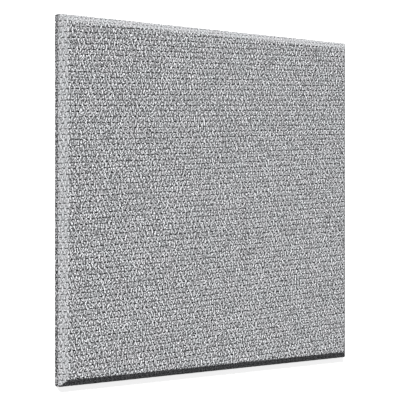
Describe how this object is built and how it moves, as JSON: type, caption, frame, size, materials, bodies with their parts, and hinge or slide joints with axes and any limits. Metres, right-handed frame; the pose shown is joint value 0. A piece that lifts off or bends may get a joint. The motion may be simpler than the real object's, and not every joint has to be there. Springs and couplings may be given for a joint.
{
  "type": "fabric acoustic wall panel",
  "caption": "Square sound-absorbing wall panel: a rigid glass-fibre board with bevelled edges, wrapped in a grey woven cloth that is mitred on the back.",
  "frame": {"origin": "middle of the back, level with the turned-over cloth that the panel rests on", "axes": "+Z out of the finished face, +X along the width (the picture's right), +Y along the height (the picture's up)"},
  "size_m": [0.6096, 0.6096, 0.0254],
  "materials": {
    "glass_fibre_board": "resin-bonded glass fibre, matt, yellow",
    "woven_cloth": "coarse woven cloth of mixed light and dark grey yarns, matt"
  },
  "bodies": {
    "root": {"core_board": "glass_fibre_board", "fabric_wrap": "woven_cloth"}
  },
  "joints": []
}
